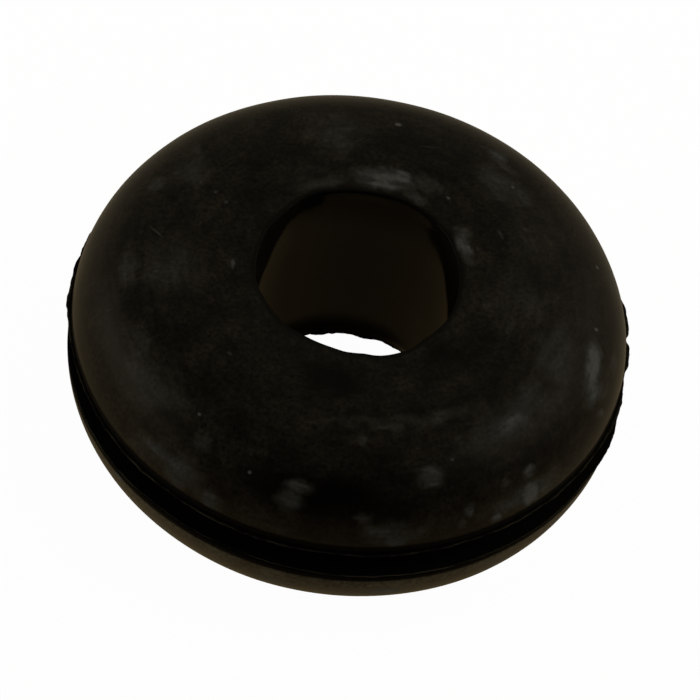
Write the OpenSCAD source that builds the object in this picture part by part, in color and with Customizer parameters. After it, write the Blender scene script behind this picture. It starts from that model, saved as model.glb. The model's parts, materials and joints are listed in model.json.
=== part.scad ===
// Rubber grommet: one moulded piece, two domed flanges with a panel groove between them
// and a straight round bore. Millimetres, axis along Z, origin on the axis halfway up the groove.

/* [Body] */
// Diameter of each flange, without its moulding flash
flange_d = 28.6; // [22:0.1:38]
// Height over both flanges
height = 12; // [7:0.1:18]
// Diameter of the bore
bore_d = 10.6; // [4:0.1:14]

/* [Groove] */
// Thickness of panel that the groove takes
groove_w = 1.6; // [0.8:0.1:3.2]
// Diameter at the bottom of the groove, which is the panel's hole
groove_d = 19; // [13:0.1:26]
// Radius in the two corners at the bottom of the groove
groove_r = 0.3; // [0.1:0.05:0.38]

/* [Flange shape] */
// Width of the flat ring round each mouth of the bore
land_w = 2.05; // [0.5:0.05:4]
// How far the crown rises from the shoulder to the flat ring
crown_h = 0.4; // [0.1:0.05:0.8]
// Least height of the straight rim between the groove and the shoulder
rim_h = 0.2; // [0.1:0.05:1]

/* [Edges] */
// Radius round each mouth of the bore
mouth_r = 0.15; // [0.1:0.05:0.6]
// How far the moulding flash stands out from each rim
flash_out = 0.15; // [0.05:0.05:0.3]
// Thickness of the flash where it leaves the rim
flash_t = 0.18; // [0.1:0.02:0.3]
// Thickness of the flash at its edge
flash_edge_t = 0.08; // [0.04:0.02:0.1]

/* [Hidden] */
$fn = 96;

flange_r = flange_d / 2;
bore_r = bore_d / 2;
top_z = height / 2;
rim_z = groove_w / 2;            // flange's inner face, where it meets the panel
land_r = bore_r + mouth_r + land_w;

// The shoulder takes the flange's thickness that the rim and the crown leave it. On a flange
// too narrow for that it stops short of the flat ring, and the straight rim is taller.
least_crown_w = 1;
shoulder_r = min(top_z - rim_z - rim_h - crown_h, flange_r - land_r - least_crown_w);
shoulder_x = flange_r - shoulder_r;
shoulder_z = top_z - crown_h - shoulder_r;

// The crown's arc starts level at the flat ring and runs smoothly into the shoulder's arc.
// At touching_r the two circles would only touch, at meet_x. The crown is a hair tighter,
// so that they cross cleanly just past meet_x.
across = shoulder_x - land_r;
rise = top_z - shoulder_z;
touching_r = (across^2 + rise^2 - shoulder_r^2) / (2 * crown_h);
crown_r = floor(100 * touching_r) / 100 - 0.01;
crown_z = top_z - crown_r;
meet_x = land_r + touching_r * across / (touching_r - shoulder_r);

// What an arc takes off the flange's outer corner, from from_x out and above the rim
module arc_cut(centre, r, from_x) {
    difference() {
        translate([from_x, shoulder_z]) square([flange_r, top_z]);
        translate(centre) circle(r);
    }
}

// What the rounding takes off the corner between the bore's wall and the flat ring
module mouth_cut() {
    difference() {
        translate([bore_r - 1, top_z - mouth_r]) square([1 + mouth_r, mouth_r + 1]);
        translate([bore_r + mouth_r, top_z - mouth_r]) circle(mouth_r);
    }
}

// Half section of one flange, from the bore's wall out and from mid-height up
module flange_section() {
    difference() {
        translate([bore_r, 0]) square([flange_r - bore_r, top_z]);
        arc_cut([land_r, crown_z], crown_r, land_r);
        arc_cut([shoulder_x, shoulder_z], shoulder_r, meet_x);
        mouth_cut();
    }
}

// Thin fin that the mould leaves along the rim's edge, level with the flange's inner face.
// Its sloping top runs on into the rim as deep as the fin stands out.
module flash_section() {
    root_t = 2 * flash_t - flash_edge_t;
    polygon([
        [flange_r - flash_out, rim_z],
        [flange_r + flash_out, rim_z],
        [flange_r + flash_out, rim_z + flash_edge_t],
        [flange_r - flash_out, rim_z + root_t],
    ]);
}

// Half section of the groove's upper half, with its rounded bottom corner
module groove_section() {
    difference() {
        translate([groove_d / 2, -1]) square([flange_r, rim_z + 1]);
        difference() {
            translate([groove_d / 2 - 1, rim_z - groove_r]) square([1 + groove_r, groove_r + 1]);
            translate([groove_d / 2 + groove_r, rim_z - groove_r]) circle(groove_r);
        }
    }
}

// Half section of everything above mid-height
module upper_section() {
    difference() {
        flange_section();
        groove_section();
    }
    flash_section();
}

module grommet() {
    color("#1c1914") rotate_extrude() {
        upper_section();
        mirror([0, 1]) upper_section();
    }
}

grommet();
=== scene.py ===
"""Looks of a moulded black rubber grommet and of the plain white studio that it lies in."""

import json
import math

import bpy
from bpy.props import FloatProperty, FloatVectorProperty, IntProperty, PointerProperty
from bpy.types import Operator, Panel, PropertyGroup
from mathutils import Matrix, Vector


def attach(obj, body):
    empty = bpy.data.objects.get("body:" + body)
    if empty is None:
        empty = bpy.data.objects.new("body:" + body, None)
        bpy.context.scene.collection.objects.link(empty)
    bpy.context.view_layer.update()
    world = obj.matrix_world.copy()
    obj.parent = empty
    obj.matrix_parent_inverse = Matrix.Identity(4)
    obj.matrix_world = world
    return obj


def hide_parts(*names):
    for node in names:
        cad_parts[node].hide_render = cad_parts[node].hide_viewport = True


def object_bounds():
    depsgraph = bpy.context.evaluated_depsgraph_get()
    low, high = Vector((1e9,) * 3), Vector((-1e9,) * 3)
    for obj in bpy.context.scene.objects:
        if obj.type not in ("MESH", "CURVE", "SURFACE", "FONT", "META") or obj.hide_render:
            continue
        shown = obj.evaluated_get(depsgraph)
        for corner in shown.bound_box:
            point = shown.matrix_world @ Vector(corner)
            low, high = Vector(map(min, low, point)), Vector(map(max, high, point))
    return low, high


bl_info = {
    "name": "Moulded rubber grommet",
    "version": (1, 0, 0),
    "blender": (4, 5, 0),
    "location": "View3D > Sidebar > Grommet",
    "description": "Builds a moulded rubber grommet, its bloom and flash, and a plain studio",
    "category": "Add Mesh",
}

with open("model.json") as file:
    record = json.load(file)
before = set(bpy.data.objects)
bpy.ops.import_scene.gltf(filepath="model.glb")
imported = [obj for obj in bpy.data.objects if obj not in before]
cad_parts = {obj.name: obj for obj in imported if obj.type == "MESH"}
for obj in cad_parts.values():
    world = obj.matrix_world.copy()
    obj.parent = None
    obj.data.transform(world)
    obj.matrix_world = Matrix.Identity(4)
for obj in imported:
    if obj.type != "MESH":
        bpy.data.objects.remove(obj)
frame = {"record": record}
CAD_LOW, CAD_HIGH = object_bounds()
BORE = next(m for m in frame["record"]["mounts"] if m["name"] == "bore")
MM = 0.001


# ---------------------------------------------------------------- settings

def length(name, description, millimetres):
    """A length property, with its default given in millimetres."""
    return FloatProperty(
        name=name, description=description, default=millimetres * MM,
        precision=6, subtype="DISTANCE", unit="LENGTH",
    )


def linear(hexadecimal):
    """An sRGB hex colour such as '#20242a' as linear red, green, blue and alpha."""
    parts = [int(hexadecimal[i:i + 2], 16) / 255 for i in (1, 3, 5)]
    return [p / 12.92 if p <= 0.04045 else ((p + 0.055) / 1.055) ** 2.4 for p in parts] + [1.0]


def colour(name, description, hexadecimal):
    """A colour property, with its default given as sRGB hex."""
    return FloatVectorProperty(
        name=name, description=description, default=linear(hexadecimal),
        size=4, min=0, max=1, subtype="COLOR",
    )


class GrommetSizes(PropertyGroup):
    """Sizes of the moulding as the part's own source gives them, and how far it departs from them."""

    bore_radius: length("Bore radius", "Radius of the straight bore", BORE["dims"]["r_mm"])
    half_height: length("Half height", "From mid-groove to either end", CAD_HIGH.z / MM)
    fin_radius: length("Fin radius", "Radius over the moulding fin", CAD_HIGH.x / MM)
    fin_out: length("Fin height", "How far the fin stands out from the rim", 0.15)
    fin_root: length("Fin root", "Thickness of the fin at the rim", 0.18)
    fin_edge: length("Fin edge", "Thickness of the fin at its edge", 0.08)
    groove_width: length("Groove width", "Thickness of panel that fits", 1.6)
    groove_radius: length("Groove radius", "Radius at the bottom of the groove", 9.5)
    groove_corner: length("Groove corner", "Radius in the groove's corners", 0.3)
    land_width: length("Land width", "Width of the flat ring round each mouth", 2.05)
    crown_rise: length("Crown rise", "Height of the crown over the shoulder", 0.4)
    rim_height: length("Rim height", "Height of the straight rim", 0.2)
    mouth_radius: length("Mouth radius", "Radius round each mouth", 0.15)
    fin_bite: length("Fin bite", "How deep the fin is torn or trimmed at most", 0.15)
    mouth_flash: length("Mouth flash", "How far flash hangs into the lower mouth at most", 0.08)
    pinch: length("Pinch", "How much the upper mouth is drawn in all round", 0.05)
    crease: length("Crease", "Depth of the crease between each fin and its rim", 0.10)
    unevenness: length("Unevenness", "How far the rubber has shrunk in places", 0.03)
    steps: IntProperty(name="Steps round", default=720, min=24, description="Faces round the bore")
    seed: FloatProperty(name="Seed", default=3.0, description="Picks another pattern of tears")


class RubberColours(PropertyGroup):
    """Colours of the rubber and of what lies on it."""

    rubber: colour("Rubber", "Clean black rubber", "#030303")
    bloom: colour("Bloom", "Pale clouds of wax that comes out of the rubber", "#2c3033")
    dust: colour("Dust", "Thin dusty film over all of it", "#39362f")
    chalk: colour("Chalk", "Smudges of bloom that was rubbed to powder", "#38393b")


class StudioSettings(PropertyGroup):
    """A long lens that looks down on the grommet with a little roll, and the light."""

    elevation: FloatProperty(name="Elevation", default=math.radians(51.28), subtype="ANGLE",
                             description="Height of the camera over the horizon")
    roll: FloatProperty(name="Roll", default=math.radians(9.46), subtype="ANGLE",
                        description="How far the camera is turned about its line of sight")
    distance: length("Distance", "From the camera to the grommet's middle", 821.3)
    lens: FloatProperty(name="Lens", default=823.0, min=50, description="Focal length in mm")
    side: length("Sideways", "How far the grommet's middle lies right of the centre", -0.21)
    lift: length("Lift", "How far the grommet's middle lies above the centre", 0.3)
    glow: FloatProperty(name="Backdrop glow", default=0.975, min=0, max=1,
                        description="Share of the floor's white that takes no shadow")
    gloss: FloatProperty(name="Glow in gloss", default=0.52, min=0, max=1,
                         description="Share of that glow that glossy surfaces reflect")
    sky: FloatProperty(name="Sky", default=0.64, min=0,
                       description="Strength of the soft light from behind the grommet")


# ---------------------------------------------------------------- helpers

def add(tree, kind, links=(), **settings):
    """Adds one node to a tree. links holds (input name or number, socket or value) pairs."""
    node = tree.nodes.new(kind)
    for name, value in settings.items():
        setattr(node, name, value)
    for key, value in links:
        if isinstance(value, bpy.types.NodeSocket):
            tree.links.new(value, node.inputs[key])
        else:
            node.inputs[key].default_value = value
    return node


# ---------------------------------------------------------------- the section

def arc(centre, radius, start, end, steps):
    """Points along an arc, from and to angles in degrees, both ends included."""
    points = []
    for i in range(steps + 1):
        angle = math.radians(start + (end - start) * i / steps)
        points.append((centre[0] + radius * math.cos(angle), centre[1] + radius * math.sin(angle)))
    return points


def line(start, end, steps):
    """Points along a straight line, without its start."""
    share = [(i + 1) / steps for i in range(steps)]
    return [tuple(a + (b - a) * s for a, b in zip(start, end)) for s in share]


BEND_DEPTH = 1.0       # mm down the bore's wall over which a bent mouth fades
BELLY_DEPTH = 4.5      # mm down it over which the wall's own bends set in
BEND_REACH = 3.0       # mm out from the bore over which it fades into the flange

# How much of the mouth flash each point of the lip's arc takes, from the flat ring inwards.
LIP_WEIGHTS = (0.5, 1.0, 1.0, 0.6, 0.2, 0.0)


def upper_section(s):
    """The section's outline over mid-groove, from the groove's bottom round to the bore's wall.

    Returns (radius, height, fin weight, mouth weight) rows. The crown's and the shoulder's arcs
    touch, so the line through their centres meets both at the same point."""
    rim = s.groove_width / 2
    edge = s.fin_radius - s.fin_out
    top = s.half_height
    shoulder_r = top - rim - s.rim_height - s.crown_rise
    shoulder = (edge - shoulder_r, rim + s.rim_height)
    land = s.bore_radius + s.mouth_radius + s.land_width
    across = shoulder[0] - land
    rise = top - shoulder[1]
    crown_r = (across ** 2 + rise ** 2 - shoulder_r ** 2) / (2 * s.crown_rise)
    crown = (land, top - crown_r)
    meet = math.degrees(math.atan2(shoulder[1] - crown[1], across))
    corner = (s.groove_radius + s.groove_corner, rim - s.groove_corner)
    mouth = (s.bore_radius + s.mouth_radius, top - s.mouth_radius)
    plain = [(s.groove_radius, rim * 0.3)]
    plain += arc(corner, s.groove_corner, 180, 90, 3)
    plain += line(plain[-1], (edge, rim), 5)
    fin = [(s.fin_radius, rim), (s.fin_radius, rim + s.fin_edge)]
    dome = [(edge - s.crease * 0.6, rim + s.fin_edge * 1.3),
            (edge - s.crease, rim + s.fin_root)]
    dome += arc(shoulder, shoulder_r, math.degrees(s.crease / shoulder_r), meet, 22)
    dome += arc(crown, crown_r, meet, 90, 9)[1:]
    dome += line(dome[-1], (mouth[0], top), 3)
    lip = arc(mouth, s.mouth_radius, 90, 180, 6)[1:]
    wall = line(lip[-1], (s.bore_radius, top - BEND_DEPTH * MM), 6)
    wall += line(wall[-1], (s.bore_radius, top / 6), 3)
    rows = [(r, z, 0.0, 0.0) for r, z in plain]
    rows += [(r, z, 1.0, 0.0) for r, z in fin]
    rows += [(r, z, 0.0, 0.0) for r, z in dome]
    rows += [(r, z, 0.0, weight) for (r, z), weight in zip(lip, LIP_WEIGHTS)]
    rows += [(r, z, 0.0, 0.0) for r, z in wall]
    return rows


def spread(rows, mouth_edge):
    """How far each point of the section lies from the axis when the flange is pressed flat."""
    start = next(i for i, row in enumerate(rows) if row[3] > 0) - 1
    out = [0.0] * len(rows)
    out[start] = rows[start][0]
    for i in range(start - 1, -1, -1):
        out[i] = out[i + 1] + math.dist(rows[i][:2], rows[i + 1][:2])
    for i in range(start + 1, len(rows)):
        out[i] = max(mouth_edge / 2, out[i - 1] - math.dist(rows[i][:2], rows[i - 1][:2]))
    return out


def section_mesh(s):
    """The whole section's closed outline as edges. X is measured out from the bore's wall."""
    upper = upper_section(s)
    rows = [row + (out,) for row, out in zip(upper, spread(upper, s.bore_radius))]
    rows += [(r, -z, *rest) for r, z, *rest in reversed(rows)]
    mesh = bpy.data.meshes.new("grommet_section")
    count = len(rows)
    mesh.from_pydata([(row[0] - s.bore_radius, row[1], 0) for row in rows],
                     [(i, (i + 1) % count) for i in range(count)], [])
    for name, column in (("fin", 2), ("lip", 3), ("spread", 4)):
        values = mesh.attributes.new(name, "FLOAT", "POINT").data
        values.foreach_set("value", [row[column] for row in rows])
    return mesh


# ---------------------------------------------------------------- the revolved body

# Places where the moulding isn't quite round. Each row: degrees round from +X, mm outwards, and
# degrees to either side over which it fades.
UPPER_MOUTH = (
    (10, -0.10, 30), (90, -0.08, 17), (124, 0.10, 12), (148, -0.08, 14), (172, -0.06, 14),
    (200, 0.06, 10), (252, -0.10, 19), (298, 0.20, 19),
)
LOWER_MOUTH = ((64, 0.24, 19), (90, 0.06, 10), (107, -0.08, 5))
UPPER_FIN = (
    (170, 0.04, 8), (177, 0.12, 6), (183.5, 0.12, 2.5), (190, 0.05, 10), (359, -0.08, 4),
    (10.3, -0.12, 1.2), (6.5, 0.14, 5), (16, 0.20, 7), (350, 0.09, 8),
)
LOWER_FIN = ((190, -0.14, 14), (345, 0.10, 8))
LOWER_SHOULDER = ((335, 0.07, 60), (275, 0.05, 60))
WALL = ((166, 0.26, 44), (12, 0.12, 38))

# Where the lower shoulder's swelling sets in and where it is full, in mm.
SWELL_UNDER_RIM = (-1.2, -3.6)     # up from mid-groove
SWELL_OVER_FOOT = (-5.8, -4.4)     # the same, from below
SWELL_OUT = (5.0, 6.0)             # out from the bore
WALL_REACH = (0.1, 0.05)           # mm past the bore's radius, where the wall's bends set in


def bulges(tree, out, rows):
    """The sum of such places at each direction out from the axis, in metres."""
    total = None
    for turn, height, wide in rows:
        angle = math.radians(turn)
        facing = add(tree, "ShaderNodeVectorMath",
                     [(0, out), (1, (math.cos(angle), math.sin(angle), 0))],
                     operation="DOT_PRODUCT")
        bulge = add(tree, "ShaderNodeMapRange",
                    [("Value", facing.outputs["Value"]), ("From Min", math.cos(math.radians(wide))),
                     ("From Max", 1.0), ("To Min", 0.0), ("To Max", height * MM)],
                    interpolation_type="SMOOTHSTEP")
        if total is None:
            total = bulge.outputs[0]
        else:
            total = add(tree, "ShaderNodeMath", [(0, total), (1, bulge.outputs[0])],
                        operation="ADD").outputs[0]
    return total


def revolve_tree():
    """Geometry Nodes: turns the section round the bore, then tears the fin and the mouth flash."""
    tree = bpy.data.node_groups.new("Turn section round bore", "GeometryNodeTree")
    face = tree.interface
    face.new_socket("Section", in_out="INPUT", socket_type="NodeSocketGeometry")
    for name, kind in (
        ("Bore radius", "NodeSocketFloat"), ("Fin radius", "NodeSocketFloat"),
        ("Steps round", "NodeSocketInt"), ("Fin bite", "NodeSocketFloat"),
        ("Mouth flash", "NodeSocketFloat"), ("Half height", "NodeSocketFloat"),
        ("Pinch", "NodeSocketFloat"), ("Unevenness", "NodeSocketFloat"),
        ("Seed", "NodeSocketFloat"), ("Rubber", "NodeSocketMaterial"),
    ):
        face.new_socket(name, in_out="INPUT", socket_type=kind)
    face.new_socket("Grommet", in_out="OUTPUT", socket_type="NodeSocketGeometry")
    given = add(tree, "NodeGroupInput").outputs

    outline = add(tree, "GeometryNodeMeshToCurve", [("Mesh", given["Section"])])
    rail = add(tree, "GeometryNodeCurvePrimitiveCircle",
               [("Resolution", given["Steps round"]), ("Radius", given["Bore radius"])])
    upright = add(tree, "GeometryNodeSetCurveNormal", [("Curve", rail.outputs["Curve"])],
                  mode="Z_UP")
    body = add(tree, "GeometryNodeCurveToMesh",
               [("Curve", upright.outputs["Curve"]), ("Profile Curve", outline.outputs["Curve"])])

    # Direction out from the axis, and a place on the rim that is the same for a whole fin.
    place = add(tree, "GeometryNodeInputPosition").outputs[0]
    parts = add(tree, "ShaderNodeSeparateXYZ", [(0, place)]).outputs
    level = add(tree, "ShaderNodeCombineXYZ", [("X", parts["X"]), ("Y", parts["Y"])]).outputs[0]
    out = add(tree, "ShaderNodeVectorMath", [(0, level)], operation="NORMALIZE").outputs[0]
    upper = add(tree, "ShaderNodeMath", [(0, parts["Z"])], operation="SIGN").outputs[0]
    lifted = add(tree, "ShaderNodeCombineXYZ", [("Z", upper)]).outputs[0]
    round_rim = add(tree, "ShaderNodeVectorMath", [(0, out), (1, lifted)], operation="ADD")
    rim_place = add(tree, "ShaderNodeVectorMath",
                    [(0, round_rim.outputs[0]), ("Scale", given["Fin radius"])], operation="SCALE")

    # What is irregular follows noise. Each row: name, the place that it goes by, its size in mm,
    # its detail, the noise where it sets in and is full, and how much that is at most.
    uneven = {}
    for name, where, size, detail, low, high, most in (
        ("trimmed", rim_place.outputs[0], 5, 1.0, 0.45, 0.7, 0.6),
        ("toothed", rim_place.outputs[0], 0.5, 2.0, 0.35, 0.65, 0.4),
        ("hanging", level, 0.55, 2.0, 0.42, 0.7, 1.0),
        ("hollow", place, 7, 1.0, 0.35, 0.65, 1.0),
    ):
        noise = add(tree, "ShaderNodeTexNoise",
                    [("Vector", where), ("W", given["Seed"]), ("Scale", 1 / (size * MM)),
                     ("Detail", detail)], noise_dimensions="4D")
        uneven[name] = add(tree, "ShaderNodeMapRange",
                           [("Value", noise.outputs[0]), ("From Min", low), ("From Max", high),
                            ("To Max", most)]).outputs[0]

    # The fin: long stretches trimmed back, with short teeth along all of it.
    bitten = add(tree, "ShaderNodeMath", [(0, uneven["trimmed"]), (1, uneven["toothed"])],
                 operation="ADD", use_clamp=True)
    fin = add(tree, "GeometryNodeInputNamedAttribute", [("Name", "fin")], data_type="FLOAT")
    depth = add(tree, "ShaderNodeMath", [(0, bitten.outputs[0]), (1, given["Fin bite"])],
                operation="MULTIPLY")
    top_side = add(tree, "ShaderNodeMath", [(0, parts["Z"]), (1, 0.0)], operation="GREATER_THAN")
    ragged = add(tree, "ShaderNodeMix",
                 [(0, top_side.outputs[0]), (2, bulges(tree, out, LOWER_FIN)),
                  (3, bulges(tree, out, UPPER_FIN))], data_type="FLOAT")
    cut = add(tree, "ShaderNodeMath", [(0, depth.outputs[0]), (1, ragged.outputs[0])],
              operation="SUBTRACT")
    fin_in = add(tree, "ShaderNodeMath", [(0, cut.outputs[0]), (1, fin.outputs[0])],
                 operation="MULTIPLY")

    # The lower mouth: torn flash that hangs into the bore.
    lip = add(tree, "GeometryNodeInputNamedAttribute", [("Name", "lip")], data_type="FLOAT")
    below = add(tree, "ShaderNodeMath", [(0, parts["Z"]), (1, 0.0)], operation="LESS_THAN")
    reach = add(tree, "ShaderNodeMath", [(0, uneven["hanging"]), (1, given["Mouth flash"])],
                operation="MULTIPLY")
    low_lip = add(tree, "ShaderNodeMath", [(0, lip.outputs[0]), (1, below.outputs[0])],
                  operation="MULTIPLY")
    lip_in = add(tree, "ShaderNodeMath", [(0, reach.outputs[0]), (1, low_lip.outputs[0])],
                 operation="MULTIPLY")
    both_in = add(tree, "ShaderNodeMath", [(0, fin_in.outputs[0]), (1, lip_in.outputs[0])],
                  operation="ADD")
    inward = add(tree, "ShaderNodeMath", [(0, both_in.outputs[0]), (1, -1.0)],
                 operation="MULTIPLY")
    torn = add(tree, "ShaderNodeVectorMath", [(0, out), ("Scale", inward.outputs[0])],
               operation="SCALE")

    # The whole body: slow hollows where the rubber shrank in the mould. The lower shoulder swells
    # on one side, where its half of the mould is a little fuller.
    sunk = add(tree, "ShaderNodeMath", [(0, uneven["hollow"]), (1, given["Unevenness"])],
               operation="MULTIPLY")
    bands = []
    for sets_in, full in (SWELL_UNDER_RIM, SWELL_OVER_FOOT):
        bands.append(add(tree, "ShaderNodeMapRange",
                         [("Value", parts["Z"]), ("From Min", sets_in * MM),
                          ("From Max", full * MM)], interpolation_type="SMOOTHSTEP").outputs[0])
    reach_out = add(tree, "ShaderNodeVectorMath", [(0, level)], operation="LENGTH")
    past_bore = add(tree, "ShaderNodeMath",
                    [(0, reach_out.outputs["Value"]), (1, given["Bore radius"])],
                    operation="SUBTRACT")
    shoulder = add(tree, "ShaderNodeMapRange",
                   [("Value", past_bore.outputs[0]), ("From Min", SWELL_OUT[0] * MM),
                    ("From Max", SWELL_OUT[1] * MM)])
    band = add(tree, "ShaderNodeMath", [(0, bands[0]), (1, bands[1])], operation="MULTIPLY")
    swell = add(tree, "ShaderNodeMath", [(0, band.outputs[0]), (1, shoulder.outputs[0])],
                operation="MULTIPLY")
    lifted_by = add(tree, "ShaderNodeMath",
                    [(0, swell.outputs[0]), (1, bulges(tree, out, LOWER_SHOULDER))],
                    operation="MULTIPLY")
    along_normal = add(tree, "ShaderNodeMath", [(0, lifted_by.outputs[0]), (1, sunk.outputs[0])],
                       operation="SUBTRACT")
    normal = add(tree, "GeometryNodeInputNormal").outputs[0]
    settled = add(tree, "ShaderNodeVectorMath", [(0, normal), ("Scale", along_normal.outputs[0])],
                  operation="SCALE")
    worn = add(tree, "ShaderNodeVectorMath", [(0, torn.outputs[0]), (1, settled.outputs[0])],
               operation="ADD")

    # The bore: the upper mouth is drawn in, each mouth is bent in places of its own, and the wall
    # between them bellies out to the sides.
    drawn = add(tree, "ShaderNodeMath",
                [(0, bulges(tree, out, UPPER_MOUTH)), (1, given["Pinch"])], operation="SUBTRACT")
    either = add(tree, "ShaderNodeMix",
                 [(0, top_side.outputs[0]), (2, bulges(tree, out, LOWER_MOUTH)),
                  (3, drawn.outputs[0])], data_type="FLOAT")
    height = add(tree, "ShaderNodeMath", [(0, parts["Z"])], operation="ABSOLUTE")
    deep = add(tree, "ShaderNodeMath", [(0, given["Half height"]), (1, height.outputs[0])],
               operation="SUBTRACT")
    near_end = add(tree, "ShaderNodeMapRange",
                   [("Value", deep.outputs[0]), ("From Max", BEND_DEPTH * MM), ("To Min", 1.0),
                    ("To Max", 0.0)], interpolation_type="SMOOTHSTEP")
    bent = add(tree, "ShaderNodeMath", [(0, either.outputs[0]), (1, near_end.outputs[0])],
               operation="MULTIPLY")
    near_bore = add(tree, "ShaderNodeMapRange",
                    [("Value", past_bore.outputs[0]), ("From Max", BEND_REACH * MM),
                     ("To Min", 1.0), ("To Max", 0.0)], interpolation_type="SMOOTHSTEP")
    bent_by = add(tree, "ShaderNodeMath", [(0, bent.outputs[0]), (1, near_bore.outputs[0])],
                  operation="MULTIPLY")
    far_in = add(tree, "ShaderNodeMapRange",
                 [("Value", deep.outputs[0]), ("From Max", BELLY_DEPTH * MM)],
                 interpolation_type="SMOOTHSTEP")
    on_wall = add(tree, "ShaderNodeMapRange",
                  [("Value", past_bore.outputs[0]), ("From Min", WALL_REACH[0] * MM),
                   ("From Max", WALL_REACH[1] * MM)])
    belly = add(tree, "ShaderNodeMath", [(0, far_in.outputs[0]), (1, on_wall.outputs[0])],
                operation="MULTIPLY")
    shifted = add(tree, "ShaderNodeMath",
                  [(0, bulges(tree, out, WALL)), (1, belly.outputs[0]), (2, bent_by.outputs[0])],
                  operation="MULTIPLY_ADD")
    bend = add(tree, "ShaderNodeVectorMath", [(0, out), ("Scale", shifted.outputs[0])],
               operation="SCALE")
    moved = add(tree, "ShaderNodeVectorMath", [(0, worn.outputs[0]), (1, bend.outputs[0])],
                operation="ADD")

    # Where each point would lie with the flange pressed flat, for the marks on it.
    pressed = add(tree, "GeometryNodeInputNamedAttribute", [("Name", "spread")], data_type="FLOAT")
    flat = add(tree, "ShaderNodeVectorMath", [(0, out), ("Scale", pressed.outputs[0])],
               operation="SCALE")
    marked = add(tree, "GeometryNodeStoreNamedAttribute",
                 [("Geometry", body.outputs["Mesh"]), ("Name", "flat"),
                  ("Value", flat.outputs[0])], data_type="FLOAT_VECTOR", domain="POINT")
    shaped = add(tree, "GeometryNodeSetPosition",
                 [("Geometry", marked.outputs["Geometry"]), ("Offset", moved.outputs[0])])
    smooth = add(tree, "GeometryNodeSetShadeSmooth", [("Geometry", shaped.outputs["Geometry"])])
    made = add(tree, "GeometryNodeRealizeInstances", [("Geometry", smooth.outputs["Geometry"])])
    coated = add(tree, "GeometryNodeSetMaterial",
                 [("Geometry", made.outputs["Geometry"]), ("Material", given["Rubber"])])
    add(tree, "NodeGroupOutput", [("Grommet", coated.outputs["Geometry"])])
    return tree


def set_input(modifier, name, value):
    """Sets one of a Geometry Nodes modifier's inputs, which go by their identifiers."""
    sockets = modifier.node_group.interface.items_tree
    socket = next(i for i in sockets if i.name == name and i.in_out == "INPUT")
    modifier[socket.identifier] = value


# ---------------------------------------------------------------- materials

# Marks on the upper flange. Each row: degrees round from +X, mm out from the axis with the
# flange pressed flat, mm long, mm wide, degrees that its long axis turns from the rim's
# direction, and strength from 0 to 1.
CLOUDS = (
    (320, 11.5, 9.0, 3.4, 0, 0.52),
    (331, 12.4, 4.0, 1.3, 0, 0.26),
    (346, 11.0, 7.0, 3.4, 0, 0.28),
    (222, 12.9, 7.0, 3.0, 0, 0.30),
    (211, 12.4, 3.5, 2.6, 0, 0.18),
    (104, 9.3, 4.4, 4.2, 0, 0.30),
    (120, 6.9, 4.0, 2.2, 0, 0.16),
    (47, 9.9, 5.0, 3.8, 0, 0.30),
    (3, 8.6, 10.0, 6.0, 0, 0.14),
    (25, 9.6, 9.0, 5.5, 0, 0.12),
    (190, 9.6, 6.0, 5.0, 0, 0.22),
    (186, 11.9, 3.2, 1.4, 0, 0.22),
    (149, 11.0, 4.0, 3.0, 0, 0.26),
    (284, 9.8, 8.0, 1.1, 0, 0.28),
    (300, 9.7, 6.0, 1.4, 0, 0.24),
    (286, 15.6, 6.0, 2.4, 0, 0.48),
    (317, 15.4, 9.0, 2.6, 0, 0.38),
    (236, 15.5, 9.0, 2.6, 0, 0.38),
    (345, 14.2, 4.5, 2.4, 0, 0.30),
)
SMUDGES = (
    (84, 6.4, 3.8, 1.9, 0, 0.85),
    (86, 6.0, 2.8, 0.8, 0, 0.95),
    (79, 6.7, 2.0, 1.1, 0, 1.0),
    (94, 6.4, 2.2, 1.8, 0, 0.60),
    (66, 7.0, 2.4, 1.5, 0, 0.45),
    (67, 5.9, 1.8, 1.0, 0, 0.40),
    (117, 5.95, 4.6, 1.0, 0, 0.35),
    (28, 5.85, 2.8, 1.1, 0, 0.95),
    (35, 6.1, 1.7, 1.2, 0, 0.40),
    (53, 11.1, 2.2, 0.7, 0, 0.50),
    (57.5, 11.5, 1.6, 1.2, 0, 0.70),
    (46, 9.3, 2.2, 1.6, 30, 0.30),
    (159, 11.8, 1.8, 1.3, 0, 0.45),
    (144, 11.5, 1.6, 0.9, 45, 0.32),
    (186, 12.0, 1.8, 0.6, 0, 0.30),
    (240, 13.4, 1.7, 1.3, 0, 0.35),
    (247, 16.0, 2.2, 1.5, 0, 0.60),
    (234, 15.6, 2.6, 1.1, 0, 0.30),
    (263.3, 14.3, 2.1, 1.8, 0, 0.80),
    (264.5, 13.5, 2.2, 1.2, 0, 0.70),
    (279.5, 14.7, 1.5, 0.9, 0, 0.45),
    (278.5, 10.6, 0.8, 0.8, 0, 0.35),
    (285, 16.0, 3.2, 0.9, 0, 0.45),
    (287, 15.2, 2.4, 0.9, 0, 0.45),
    (295, 12.8, 2.1, 1.5, 0, 0.85),
    (303, 15.0, 1.0, 1.1, 0, 0.60),
    (301, 15.8, 0.9, 0.8, 0, 0.40),
    (309, 16.1, 1.1, 1.1, 0, 0.80),
    (312, 14.4, 1.1, 0.7, 0, 0.35),
    (318.5, 14.4, 1.3, 1.0, 0, 0.70),
    (318, 15.7, 2.1, 2.2, 0, 1.00),
    (348, 13.35, 5.0, 1.8, 23, 1.00),
    (352, 13.0, 2.4, 1.7, 20, 1.00),
    (356, 14.6, 1.8, 0.9, 0, 0.45),
    (343.5, 15.2, 1.0, 0.8, 0, 0.60),
    (346, 8.3, 1.4, 0.7, 0, 0.22),
    (353, 6.8, 0.8, 0.8, 0, 0.25),
)
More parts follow.
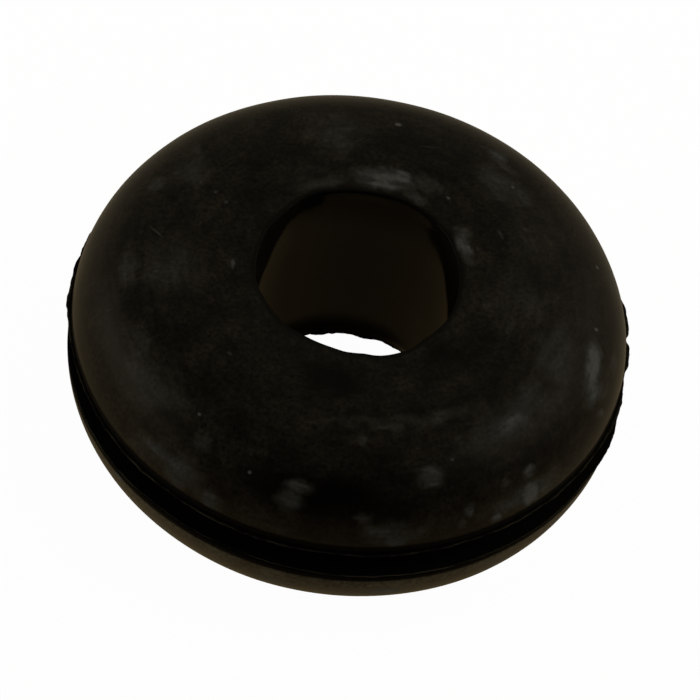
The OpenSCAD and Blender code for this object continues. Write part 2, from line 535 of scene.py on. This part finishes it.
# Places without the veil. The two at the front, at 268 and 270 degrees, are painted shade where the
# flange faces away from the lamps; the others were rubbed off.
CLEAN_AND_SHADED = (
    (270, 13.7, 13.5, 3.2, 0, 1.0),
    (268, 7.2, 7.0, 3.2, 0, 0.9),
    (318, 7.0, 6.5, 2.6, 0, 0.5),
    (150, 7.4, 7.0, 2.4, 0, 0.2),
    (124, 6.6, 4.0, 1.8, 0, 0.5),
    (80, 9.0, 6.0, 3.0, 0, 0.3),
)
# The same for the lower flange.
LOWER_SMUDGES = (
    (286, 15.3, 2.6, 1.3, 0, 1.0),
    (223.5, 16.6, 1.2, 1.0, 0, 0.8),
    (262, 15.2, 4.0, 1.4, 0, 0.25),
    (235, 15.0, 5.0, 1.6, 0, 0.2),
    (312, 15.4, 4.0, 1.4, 0, 0.25),
)
SPECKS = (
    (85.8, 10.4, 0.52, 0.42, 0, 1.0),
    (55.8, 6.95, 0.36, 0.24, 0, 0.7),
    (46.4, 10.3, 0.34, 0.28, 0, 0.9),
    (29.8, 9.3, 0.40, 0.34, 0, 0.4),
    (29.7, 7.9, 0.90, 0.24, 0, 0.35),
    (18.6, 13.0, 0.34, 0.34, 0, 0.9),
    (359.2, 12.7, 0.34, 0.34, 0, 0.9),
    (301.2, 12.2, 0.28, 0.26, 0, 0.6),
    (308.8, 11.6, 0.9, 0.22, 50, 0.40),
    (253.2, 13.6, 0.30, 0.28, 0, 0.9),
    (235.9, 12.3, 0.30, 0.26, 0, 0.8),
    (228.8, 8.8, 0.40, 0.28, 0, 0.4),
    (187.8, 6.5, 0.90, 0.30, 0, 0.6),
    (190.3, 10.4, 0.24, 0.60, 0, 0.5),
    (155.2, 8.7, 0.34, 0.28, 0, 0.4),
    (157.2, 7.9, 0.34, 0.26, 0, 0.35),
    (350, 10.9, 0.22, 0.20, 0, 0.4),
    (176.1, 10.6, 1.5, 0.16, 50, 0.40),
    (62, 11.4, 1.3, 0.12, 20, 0.30),
    (74, 9.4, 1.6, 0.12, 25, 0.22),
    (98, 8.6, 1.4, 0.12, 35, 0.25),
)


def marks(tree, place, rows, core):
    """The strongest of some marks at each place. core is the share of each that is solid."""
    strongest = None
    for turn, out, long, wide, lean, strength in rows:
        angle = math.radians(turn)
        centre = (out * MM * math.cos(angle), out * MM * math.sin(angle), 0)
        laid = add(tree, "ShaderNodeMapping",
                   [("Vector", place), ("Location", centre),
                    ("Rotation", (0, 0, angle + math.radians(90 + lean))),
                    ("Scale", (long * MM / 2, wide * MM / 2, 1))], vector_type="TEXTURE")
        far = add(tree, "ShaderNodeVectorMath", [(0, laid.outputs[0])], operation="LENGTH")
        mark = add(tree, "ShaderNodeMapRange",
                   [("Value", far.outputs["Value"]), ("From Min", 1.0), ("From Max", core),
                    ("To Min", 0.0), ("To Max", strength)], interpolation_type="SMOOTHSTEP")
        if strongest is None:
            strongest = mark.outputs[0]
        else:
            strongest = add(tree, "ShaderNodeMath", [(0, strongest), (1, mark.outputs[0])],
                            operation="MAXIMUM").outputs[0]
    return strongest


STREAK_WIDE = 0.45                  # mm across a streak
STREAK_TURNS = 4.0                  # streaks in one radian round the bore
FOOT_DUST_AND_REFLECTION = (-2.2, -4.4)                 # mm up from mid-groove, where the foot's thicker dust sets in, partly painted reflection of the floor
CREASE_CLEAR = (0.34, 0.58)         # mm past the fin's root, where the crease's painted shade ends
SHADED_BAND_TURN = math.radians(102)      # where the skin is taken away at the bore's lower mouth, round from +X: painted shade
SHADED_BAND_WIDE = (55, 30)               # degrees to either side of it, where it sets in and is full
SHADED_BAND_HIGH = (2.2, 0.8)             # mm up from the lower end, the same


def moulded_rubber(colours, sizes):
    """Black nitrile rubber, compression moulded.

    Carbon black leaves it almost no colour, so the eye goes by its dull sheen, by the pale wax
    that blooms out of it in clouds and smudges, and by the smoother skin in the bore, where the
    core pin was polished."""
    material = bpy.data.materials.new("Black nitrile rubber, compression moulded")
    material.use_nodes = True
    tree = material.node_tree
    tree.nodes.clear()
    place = add(tree, "ShaderNodeTexCoord").outputs["Object"]
    parts = add(tree, "ShaderNodeSeparateXYZ", [(0, place)]).outputs
    flat = add(tree, "ShaderNodeAttribute", attribute_name="flat").outputs["Vector"]
    out = add(tree, "ShaderNodeVectorMath", [(0, flat)], operation="LENGTH").outputs["Value"]

    # Grain of the mould's blasted steel, about a quarter of a millimetre.
    grain = add(tree, "ShaderNodeTexNoise",
                [("Vector", place), ("Scale", 1 / (0.22 * MM)), ("Detail", 3.0),
                 ("Roughness", 0.6)]).outputs[0]
    # Patches of thicker and thinner bloom, about one and a half millimetres.
    patchy = add(tree, "ShaderNodeTexNoise",
                 [("Vector", place), ("Scale", 1 / (1.6 * MM)), ("Detail", 4.0),
                  ("Roughness", 0.62)]).outputs[0]

    # Marks have ragged edges, so the place that they are looked up at is jogged: by a third of a
    # millimetre for smudges, and in slower and wider swings for clouds.
    jogged = {}
    for name, period, swing in (("smudge", 0.6, 0.7), ("cloud", 1.8, 3.0)):
        jog = add(tree, "ShaderNodeTexNoise",
                  [("Vector", flat), ("Scale", 1 / (period * MM)), ("Detail", 3.0)])
        centred = add(tree, "ShaderNodeVectorMath",
                      [(0, jog.outputs["Color"]), (1, (0.5, 0.5, 0.5))], operation="SUBTRACT")
        shifted = add(tree, "ShaderNodeVectorMath",
                      [(0, centred.outputs[0]), (1, (swing * MM, swing * MM, 0)), (2, flat)],
                      operation="MULTIPLY_ADD")
        jogged[name] = shifted.outputs[0]
    cloud = marks(tree, jogged["cloud"], CLOUDS, 0.0)
    smudge = marks(tree, jogged["smudge"], SMUDGES, 0.2)
    low_smudge = marks(tree, jogged["smudge"], LOWER_SMUDGES, 0.2)
    speck = marks(tree, flat, SPECKS, 0.3)

    # Streaks where the grommet was wiped and turned, three millimetres long round the bore.
    around = add(tree, "ShaderNodeVectorMath", [(0, flat)], operation="NORMALIZE").outputs[0]
    across = add(tree, "ShaderNodeCombineXYZ", [("Z", out)]).outputs[0]
    round_by = STREAK_TURNS * STREAK_WIDE * MM
    unrolled = add(tree, "ShaderNodeVectorMath",
                   [(0, around), (1, (round_by, round_by, 0)), (2, across)],
                   operation="MULTIPLY_ADD").outputs[0]
    streak = add(tree, "ShaderNodeTexNoise",
                 [("Vector", unrolled), ("Scale", 1 / (STREAK_WIDE * MM)), ("Detail", 3.0),
                  ("Roughness", 0.6)]).outputs[0]

    # How much each noise thins or thickens a film. Each row: name, noise, the noise's values
    # where the film is thinnest and thickest, and how thick it is there.
    varied = {}
    for name, noise, low, high, least, most in (
        ("thick", patchy, 0.3, 0.7, 0.65, 1.35),
        ("streaky", streak, 0.3, 0.7, 0.65, 1.35),
        ("broken", streak, 0.38, 0.58, 0.55, 1.0),
        ("veil", patchy, 0.34, 0.72, 0.05, 0.16),
        ("worn", patchy, 0.42, 0.62, 0.1, 1.0),
        ("speckled", grain, 0.3, 0.7, 0.3, 1.7),
        ("faint", grain, 0.3, 0.7, 0.8, 1.2),
    ):
        varied[name] = add(tree, "ShaderNodeMapRange",
                           [("Value", noise), ("From Min", low), ("From Max", high),
                            ("To Min", least), ("To Max", most)]).outputs[0]
    layered = add(tree, "ShaderNodeMath", [(0, varied["thick"]), (1, varied["streaky"])],
                  operation="MULTIPLY").outputs[0]
    cloudy = add(tree, "ShaderNodeMath", [(0, cloud), (1, layered)],
                 operation="MULTIPLY").outputs[0]
    smudged = add(tree, "ShaderNodeMath", [(0, smudge), (1, varied["broken"])],
                  operation="MULTIPLY").outputs[0]
    film = add(tree, "ShaderNodeMath", [(0, cloudy), (1, smudged)], operation="MAXIMUM").outputs[0]
    dusty = add(tree, "ShaderNodeMath", [(0, film), (1, speck)], operation="MAXIMUM").outputs[0]
    upper = add(tree, "ShaderNodeMath", [(0, parts["Z"]), (1, 0.0)],
                operation="GREATER_THAN").outputs[0]
    marked = add(tree, "ShaderNodeMix", [(0, upper), (2, low_smudge), (3, dusty)],
                 data_type="FLOAT").outputs[0]

    # A thin veil lies all over, but for places where it was rubbed off, and at the front, where its
    # lack is painted shade.
    clean_and_shaded = marks(tree, jogged["cloud"], CLEAN_AND_SHADED, 0.2)
    bare_and_shaded = add(tree, "ShaderNodeMath", [(0, clean_and_shaded), (1, upper)], operation="MULTIPLY").outputs[0]
    covered = add(tree, "ShaderNodeMath", [(0, 1.0), (1, bare_and_shaded)], operation="SUBTRACT").outputs[0]
    streaked = add(tree, "ShaderNodeMath", [(0, varied["veil"]), (1, varied["streaky"])],
                   operation="MULTIPLY").outputs[0]
    thinned = add(tree, "ShaderNodeMath", [(0, streaked), (1, covered)],
                  operation="MULTIPLY").outputs[0]

    # The lower flange picks up more dust from what the grommet lies on. Growing towards the foot,
    # it also stands in for the white floor reflected in it: painted reflection.
    settled = add(tree, "ShaderNodeMapRange",
                  [("Value", parts["Z"]), ("From Min", -sizes.groove_width / 2 - 0.1 * MM),
                   ("From Max", -sizes.groove_width / 2 - 0.4 * MM), ("To Min", 0.0),
                   ("To Max", 0.5)]).outputs[0]
    foot = add(tree, "ShaderNodeMapRange",
               [("Value", parts["Z"]), ("From Min", FOOT_DUST_AND_REFLECTION[0] * MM), ("From Max", FOOT_DUST_AND_REFLECTION[1] * MM),
                ("To Min", 1.0), ("To Max", 2.4)], interpolation_type="SMOOTHSTEP").outputs[0]
    outside = add(tree, "ShaderNodeMapRange",
                  [("Value", out), ("From Min", sizes.bore_radius + 0.1 * MM),
                   ("From Max", sizes.bore_radius + 0.4 * MM)]).outputs[0]
    layer = add(tree, "ShaderNodeMath", [(0, settled), (1, foot)],
                operation="MULTIPLY").outputs[0]
    patchy_dust_and_floor_reflection = add(tree, "ShaderNodeMath", [(0, layer), (1, varied["thick"])],
                  operation="MULTIPLY").outputs[0]

    # The fins' thin edges are pale, partly worn and partly a painted highlight where they catch the
    # light;
    # the crease behind each stays black, which is painted shade.
    thin = add(tree, "ShaderNodeAttribute", attribute_name="fin").outputs["Fac"]
    wear_and_highlight_on_fin_edge = add(tree, "ShaderNodeMapRange",
                  [("Value", thin), ("From Min", 0.4), ("From Max", 1.0), ("To Min", 0.0),
                   ("To Max", 0.45)]).outputs[0]
    patchy_wear_and_highlight_on_fin_edge = add(tree, "ShaderNodeMath", [(0, wear_and_highlight_on_fin_edge), (1, varied["worn"])],
                 operation="MULTIPLY").outputs[0]
    # Bloom is kept out of the crease behind each fin, so that it stays black: painted shade.
    height = add(tree, "ShaderNodeMath", [(0, parts["Z"])], operation="ABSOLUTE").outputs[0]
    fin_top = sizes.groove_width / 2 + sizes.fin_root
    clear_of_crease_shade = add(tree, "ShaderNodeMapRange",
                   [("Value", height), ("From Min", fin_top + CREASE_CLEAR[0] * MM),
                    ("From Max", fin_top + CREASE_CLEAR[1] * MM)],
                   interpolation_type="SMOOTHSTEP").outputs[0]

    # Grain breaks up the thin films most.
    lying = add(tree, "ShaderNodeMath", [(0, thinned), (1, patchy_dust_and_floor_reflection)], operation="ADD").outputs[0]
    grainy = add(tree, "ShaderNodeMath", [(0, lying), (1, varied["speckled"])],
                 operation="MULTIPLY").outputs[0]
    films = add(tree, "ShaderNodeMath", [(0, marked), (1, varied["faint"]), (2, grainy)],
                operation="MULTIPLY_ADD").outputs[0]
    past_crease_shade_and_bore = add(tree, "ShaderNodeMath", [(0, clear_of_crease_shade), (1, outside)],
                  operation="MULTIPLY").outputs[0]
    bloom = add(tree, "ShaderNodeMath", [(0, films), (1, past_crease_shade_and_bore), (2, patchy_wear_and_highlight_on_fin_edge)],
                operation="MULTIPLY_ADD", use_clamp=True).outputs[0]
    waxy = add(tree, "ShaderNodeMapRange", [("Value", marked), ("From Max", 0.5)]).outputs[0]
    clouded = add(tree, "ShaderNodeMix",
                  [(0, waxy), (6, colours.dust), (7, colours.bloom)],
                  data_type="RGBA").outputs[2]
    chalky = add(tree, "ShaderNodeMapRange",
                 [("Value", marked), ("From Min", 0.35), ("From Max", 0.8)]).outputs[0]
    film_tint = add(tree, "ShaderNodeMix",
                    [(0, chalky), (6, clouded), (7, colours.chalk)],
                    data_type="RGBA").outputs[2]
    tint = add(tree, "ShaderNodeMix", [(0, bloom), (6, colours.rubber), (7, film_tint)],
               data_type="RGBA").outputs[2]

    # The flanges are dull and bloom is duller still. The bore has a thin shiny skin from the polished
    # pin over rubber that is duller than the flanges. At its lower mouth the skin is taken away in a
    # band, which leaves the wall dark where it would reflect the shaded floor: painted shade.
    dull = add(tree, "ShaderNodeMapRange",
               [("Value", out), ("From Min", sizes.bore_radius - 0.08 * MM),
                ("From Max", sizes.bore_radius + sizes.mouth_radius), ("To Min", 0.9),
                ("To Max", 0.42)]).outputs[0]
    filmed = add(tree, "ShaderNodeMath", [(0, bloom), (1, 0.2), (2, dull)],
                 operation="MULTIPLY_ADD").outputs[0]
    creased = add(tree, "ShaderNodeMath", [(0, 1.0), (1, clear_of_crease_shade)],
                  operation="SUBTRACT").outputs[0]
    rough = add(tree, "ShaderNodeMath", [(0, creased), (1, 0.5), (2, filmed)],
                operation="MULTIPLY_ADD", use_clamp=True).outputs[0]
    skin = add(tree, "ShaderNodeMapRange",
               [("Value", out), ("From Min", sizes.bore_radius + 0.05 * MM),
                ("From Max", sizes.bore_radius - 0.08 * MM), ("To Min", 0.0),
                ("To Max", 0.12)]).outputs[0]
    level = add(tree, "ShaderNodeVectorMath", [(0, place), (1, (1, 1, 0))],
                operation="MULTIPLY").outputs[0]
    facing = add(tree, "ShaderNodeVectorMath", [(0, level)], operation="NORMALIZE").outputs[0]
    aside = add(tree, "ShaderNodeVectorMath",
                [(0, facing), (1, (math.cos(SHADED_BAND_TURN), math.sin(SHADED_BAND_TURN), 0))],
                operation="DOT_PRODUCT").outputs["Value"]
    along = add(tree, "ShaderNodeMapRange",
                [("Value", aside), ("From Min", math.cos(math.radians(SHADED_BAND_WIDE[0]))),
                 ("From Max", math.cos(math.radians(SHADED_BAND_WIDE[1])))],
                interpolation_type="SMOOTHSTEP").outputs[0]
    low = add(tree, "ShaderNodeMapRange",
              [("Value", parts["Z"]), ("From Min", -sizes.half_height + SHADED_BAND_HIGH[0] * MM),
               ("From Max", -sizes.half_height + SHADED_BAND_HIGH[1] * MM)],
              interpolation_type="SMOOTHSTEP").outputs[0]
    shaded_band = add(tree, "ShaderNodeMath", [(0, along), (1, low)], operation="MULTIPLY").outputs[0]
    shiny = add(tree, "ShaderNodeMath", [(0, 1.0), (1, shaded_band)], operation="SUBTRACT").outputs[0]
    # The skin thins towards the upper mouth, over the bore's top three millimetres.
    thinner_towards_top = add(tree, "ShaderNodeMapRange",
                  [("Value", parts["Z"]), ("From Min", sizes.half_height),
                   ("From Max", sizes.half_height - 3 * MM), ("To Min", 0.4),
                   ("To Max", 1.0)]).outputs[0]
    kept = add(tree, "ShaderNodeMath", [(0, shiny), (1, thinner_towards_top)],
               operation="MULTIPLY").outputs[0]
    coat = add(tree, "ShaderNodeMath", [(0, skin), (1, kept)], operation="MULTIPLY").outputs[0]
    bump = add(tree, "ShaderNodeBump",
               [("Height", grain), ("Distance", 0.006 * MM), ("Strength", 0.6)]).outputs[0]
    rubber = add(tree, "ShaderNodeBsdfPrincipled",
                 [("Base Color", tint), ("Normal", bump), ("Roughness", rough), ("IOR", 1.5),
                  ("Specular IOR Level", 0.024), ("Specular Tint", linear("#fffaf2")),
                  ("Coat Weight", coat), ("Coat Roughness", 0.12), ("Coat IOR", 1.5)])
    add(tree, "ShaderNodeOutputMaterial", [("Surface", rubber.outputs[0])])
    return material


# The floor's glow in gloss, which lights the rubber's reflections of the floor more in front than
# behind:
# painted reflection. Each pair: mm behind the grommet's middle where it starts to change and where it
# stops, and its share at each.
GLOSS_BEHIND = (6, 16)
GLOSS_BEHIND_SHARE = (1.1, 0.65)
GLOSS_AHEAD = (-6, -12)
GLOSS_AHEAD_SHARE = (1.0, 1.7)


def studio_white(glow, gloss):
    """Matt white card, that keeps a faint shadow.

    Part of its white is given out, and only to the eye and to gloss, so that the backdrop is
    white without more light on the grommet. Gloss sees less of it, so that the bore's wall
    stays as dark as the shade inside it: most in front of the grommet, and least behind it."""
    material = bpy.data.materials.new("Matt white card")
    material.use_nodes = True
    tree = material.node_tree
    tree.nodes.clear()
    ray = add(tree, "ShaderNodeLightPath").outputs
    seen = add(tree, "ShaderNodeMath",
               [(0, ray["Is Camera Ray"]), (1, ray["Is Transmission Ray"])], operation="MAXIMUM")
    shown = add(tree, "ShaderNodeMath", [(0, seen.outputs[0]), (1, glow)], operation="MULTIPLY")
    where = add(tree, "ShaderNodeTexCoord").outputs["Object"]
    back = add(tree, "ShaderNodeSeparateXYZ", [(0, where)]).outputs["Y"]
    sheen = add(tree, "ShaderNodeMapRange",
                [("Value", back), ("From Min", GLOSS_BEHIND[0] * MM),
                 ("From Max", GLOSS_BEHIND[1] * MM), ("To Min", gloss * GLOSS_BEHIND_SHARE[0]),
                 ("To Max", gloss * GLOSS_BEHIND_SHARE[1])], interpolation_type="SMOOTHSTEP")
    front = add(tree, "ShaderNodeMapRange",
                [("Value", back), ("From Min", GLOSS_AHEAD[0] * MM),
                 ("From Max", GLOSS_AHEAD[1] * MM), ("To Min", GLOSS_AHEAD_SHARE[0]),
                 ("To Max", GLOSS_AHEAD_SHARE[1])], interpolation_type="SMOOTHSTEP")
    glossy = add(tree, "ShaderNodeMath", [(0, sheen.outputs[0]), (1, front.outputs[0])],
                 operation="MULTIPLY")
    share = add(tree, "ShaderNodeMath",
                [(0, ray["Is Glossy Ray"]), (1, glossy.outputs[0]), (2, shown.outputs[0])],
                operation="MULTIPLY_ADD")
    card = add(tree, "ShaderNodeBsdfDiffuse", [("Color", linear("#f4f4f4"))])
    # The glow that gloss sees is warm, though the card is white to the eye, so it tints the rubber's
    # reflections: painted reflection.
    glossy_glow_tint = add(tree, "ShaderNodeMix",
                 [(0, ray["Is Glossy Ray"]), (6, linear("#ffffff")), (7, linear("#ffdb9c"))],
                 data_type="RGBA")
    lit = add(tree, "ShaderNodeEmission", [("Color", glossy_glow_tint.outputs[2]), ("Strength", 1.0)])
    both = add(tree, "ShaderNodeMixShader",
               [(0, share.outputs[0]), (1, card.outputs[0]), (2, lit.outputs[0])])
    add(tree, "ShaderNodeOutputMaterial", [("Surface", both.outputs[0])])
    return material


# ---------------------------------------------------------------- operators

# Soft boxes: name, degrees round from +X, degrees up, metres wide and high, watts.
LAMPS = (
    ("Left box", 180, 12, 1.0, 0.4, 10.8),
    ("Back box", 35, 25, 0.9, 0.6, 4.1),
    ("Right box", 0, 40, 0.9, 0.7, 6.3),
)
LAMP_DISTANCE = 1.2
LIGHT = "#fff5da"      # warm white of the boxes and of the sky behind them
SKY_EDGE = 0.3         # how far to either side of east and west the sky fades in
SKY_FULL = 0.45        # how far up it is full
HORIZON = 0.65         # its share at the horizon


class GROMMET_OT_body(Operator):
    """Turn the grommet's section round its bore and give it its rubber"""

    bl_idname = "grommet.body"
    bl_label = "Build the grommet"

    def execute(self, context):
        s = context.scene.grommet_sizes
        rubber = moulded_rubber(context.scene.grommet_colours, s)
        section = bpy.data.objects.new("grommet_section", section_mesh(s))
        context.scene.collection.objects.link(section)
        turn = section.modifiers.new("Turn", "NODES")
        turn.node_group = revolve_tree()
        for name, value in (
            ("Bore radius", s.bore_radius), ("Fin radius", s.fin_radius),
            ("Steps round", s.steps), ("Fin bite", s.fin_bite), ("Mouth flash", s.mouth_flash),
            ("Half height", s.half_height), ("Pinch", s.pinch), ("Unevenness", s.unevenness),
            ("Seed", s.seed), ("Rubber", rubber),
        ):
            set_input(turn, name, value)
        graph = context.evaluated_depsgraph_get()
        mesh = bpy.data.meshes.new_from_object(section.evaluated_get(graph))
        if not mesh.polygons:
            raise RuntimeError("the section turned into no faces")
        bpy.data.objects.remove(section)
        mesh.name = "grommet_rubber"
        mesh.set_sharp_from_angle(angle=math.radians(40))
        body = bpy.data.objects.new("grommet_rubber", mesh)
        context.scene.collection.objects.link(body)
        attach(body, "root")
        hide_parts("grommet")
        return {"FINISHED"}


class GROMMET_OT_studio(Operator):
    """Lay the white floor, light it softly and aim the camera"""

    bl_idname = "grommet.studio"
    bl_label = "Set up the studio"

    def execute(self, context):
        s = context.scene.grommet_studio
        self.floor(context, s)
        self.light(context, s)
        self.camera(context, s)
        context.scene.view_settings.view_transform = "Standard"
        return {"FINISHED"}

    def floor(self, context, s):
        half = 1.0
        z = CAD_LOW.z
        mesh = bpy.data.meshes.new("floor")
        mesh.from_pydata([(-half, -half, z), (half, -half, z), (half, half, z), (-half, half, z)],
                         [], [(0, 1, 2, 3)])
        mesh.materials.append(studio_white(s.glow, s.gloss))
        card = bpy.data.objects.new("floor", mesh)
        context.scene.collection.objects.link(card)

    def light(self, context, s):
        world = bpy.data.worlds.new("Soft studio")
        context.scene.world = world
        world.use_nodes = True
        tree = world.node_tree
        tree.nodes.clear()
        aim = add(tree, "ShaderNodeTexCoord").outputs["Generated"]
        ways = add(tree, "ShaderNodeSeparateXYZ", [(0, aim)]).outputs
        north = add(tree, "ShaderNodeMapRange",
                    [("Value", ways["Y"]), ("From Min", -SKY_EDGE), ("From Max", SKY_EDGE),
                     ("To Min", 0.0), ("To Max", s.sky)],
                    interpolation_type="SMOOTHSTEP").outputs[0]
        high = add(tree, "ShaderNodeMapRange",
                   [("Value", ways["Z"]), ("From Min", 0.0), ("From Max", SKY_FULL),
                    ("To Min", HORIZON), ("To Max", 1.0)]).outputs[0]
        fade = add(tree, "ShaderNodeMath", [(0, north), (1, high)],
                   operation="MULTIPLY").outputs[0]
        ray = add(tree, "ShaderNodeLightPath").outputs
        soft = add(tree, "ShaderNodeBackground",
                   [("Color", linear(LIGHT)), ("Strength", fade)])
        white = add(tree, "ShaderNodeBackground", [("Color", linear("#ffffff"))])
        both = add(tree, "ShaderNodeMixShader",
                   [(0, ray["Is Camera Ray"]), (1, soft.outputs[0]), (2, white.outputs[0])])
        add(tree, "ShaderNodeOutputWorld", [("Surface", both.outputs[0])])
        for name, turn, height, wide, tall, watts in LAMPS:
            data = bpy.data.lights.new(name, "AREA")
            data.shape = "RECTANGLE"
            data.size, data.size_y = wide, tall
            data.energy = watts
            data.color = linear(LIGHT)[:3]
            lamp = bpy.data.objects.new(name, data)
            context.scene.collection.objects.link(lamp)
            lamp.visible_camera = False
            flat = math.cos(math.radians(height))
            towards = Vector((flat * math.cos(math.radians(turn)),
                              flat * math.sin(math.radians(turn)),
                              math.sin(math.radians(height))))
            aimed = towards.to_track_quat("Z", "Y").to_matrix().to_4x4()
            lamp.matrix_world = Matrix.Translation(towards * LAMP_DISTANCE) @ aimed

    def camera(self, context, s):
        data = bpy.data.cameras.new("Camera")
        data.lens = s.lens
        data.clip_start = 0.1
        data.clip_end = 5.0
        camera = bpy.data.objects.new("Camera", data)
        context.scene.collection.objects.link(camera)
        ahead = Vector((0, math.cos(s.elevation), -math.sin(s.elevation)))
        level = Vector((1, 0, 0))
        rise = level.cross(ahead)
        right = level * math.cos(s.roll) + rise * math.sin(s.roll)
        up = rise * math.cos(s.roll) - level * math.sin(s.roll)
        turn = Matrix((right, up, -ahead)).transposed().to_4x4()
        place = -ahead * s.distance - level * s.side - rise * s.lift
        camera.matrix_world = Matrix.Translation(place) @ turn
        context.scene.camera = camera


class GROMMET_PT_panel(Panel):
    """Sizes and colours of the grommet, and its build buttons"""

    bl_label = "Rubber grommet"
    bl_idname = "GROMMET_PT_panel"
    bl_space_type = "VIEW_3D"
    bl_region_type = "UI"
    bl_category = "Grommet"

    def draw(self, context):
        scene = context.scene
        for group in (scene.grommet_sizes, scene.grommet_colours, scene.grommet_studio):
            for name in group.__annotations__:
                self.layout.prop(group, name)
        for operator in OPERATORS:
            self.layout.operator(operator.bl_idname)


OPERATORS = (GROMMET_OT_body, GROMMET_OT_studio)
GROUPS = (("grommet_sizes", GrommetSizes), ("grommet_colours", RubberColours),
          ("grommet_studio", StudioSettings))


def register():
    for name, group in GROUPS:
        bpy.utils.register_class(group)
        setattr(bpy.types.Scene, name, PointerProperty(type=group))
    for kind in (*OPERATORS, GROMMET_PT_panel):
        bpy.utils.register_class(kind)


def unregister():
    for kind in (GROMMET_PT_panel, *reversed(OPERATORS)):
        bpy.utils.unregister_class(kind)
    for name, group in reversed(GROUPS):
        delattr(bpy.types.Scene, name)
        bpy.utils.unregister_class(group)


def main():
    register()
    bpy.ops.grommet.body()
    bpy.ops.grommet.studio()


if __name__ == "__main__":
    main()
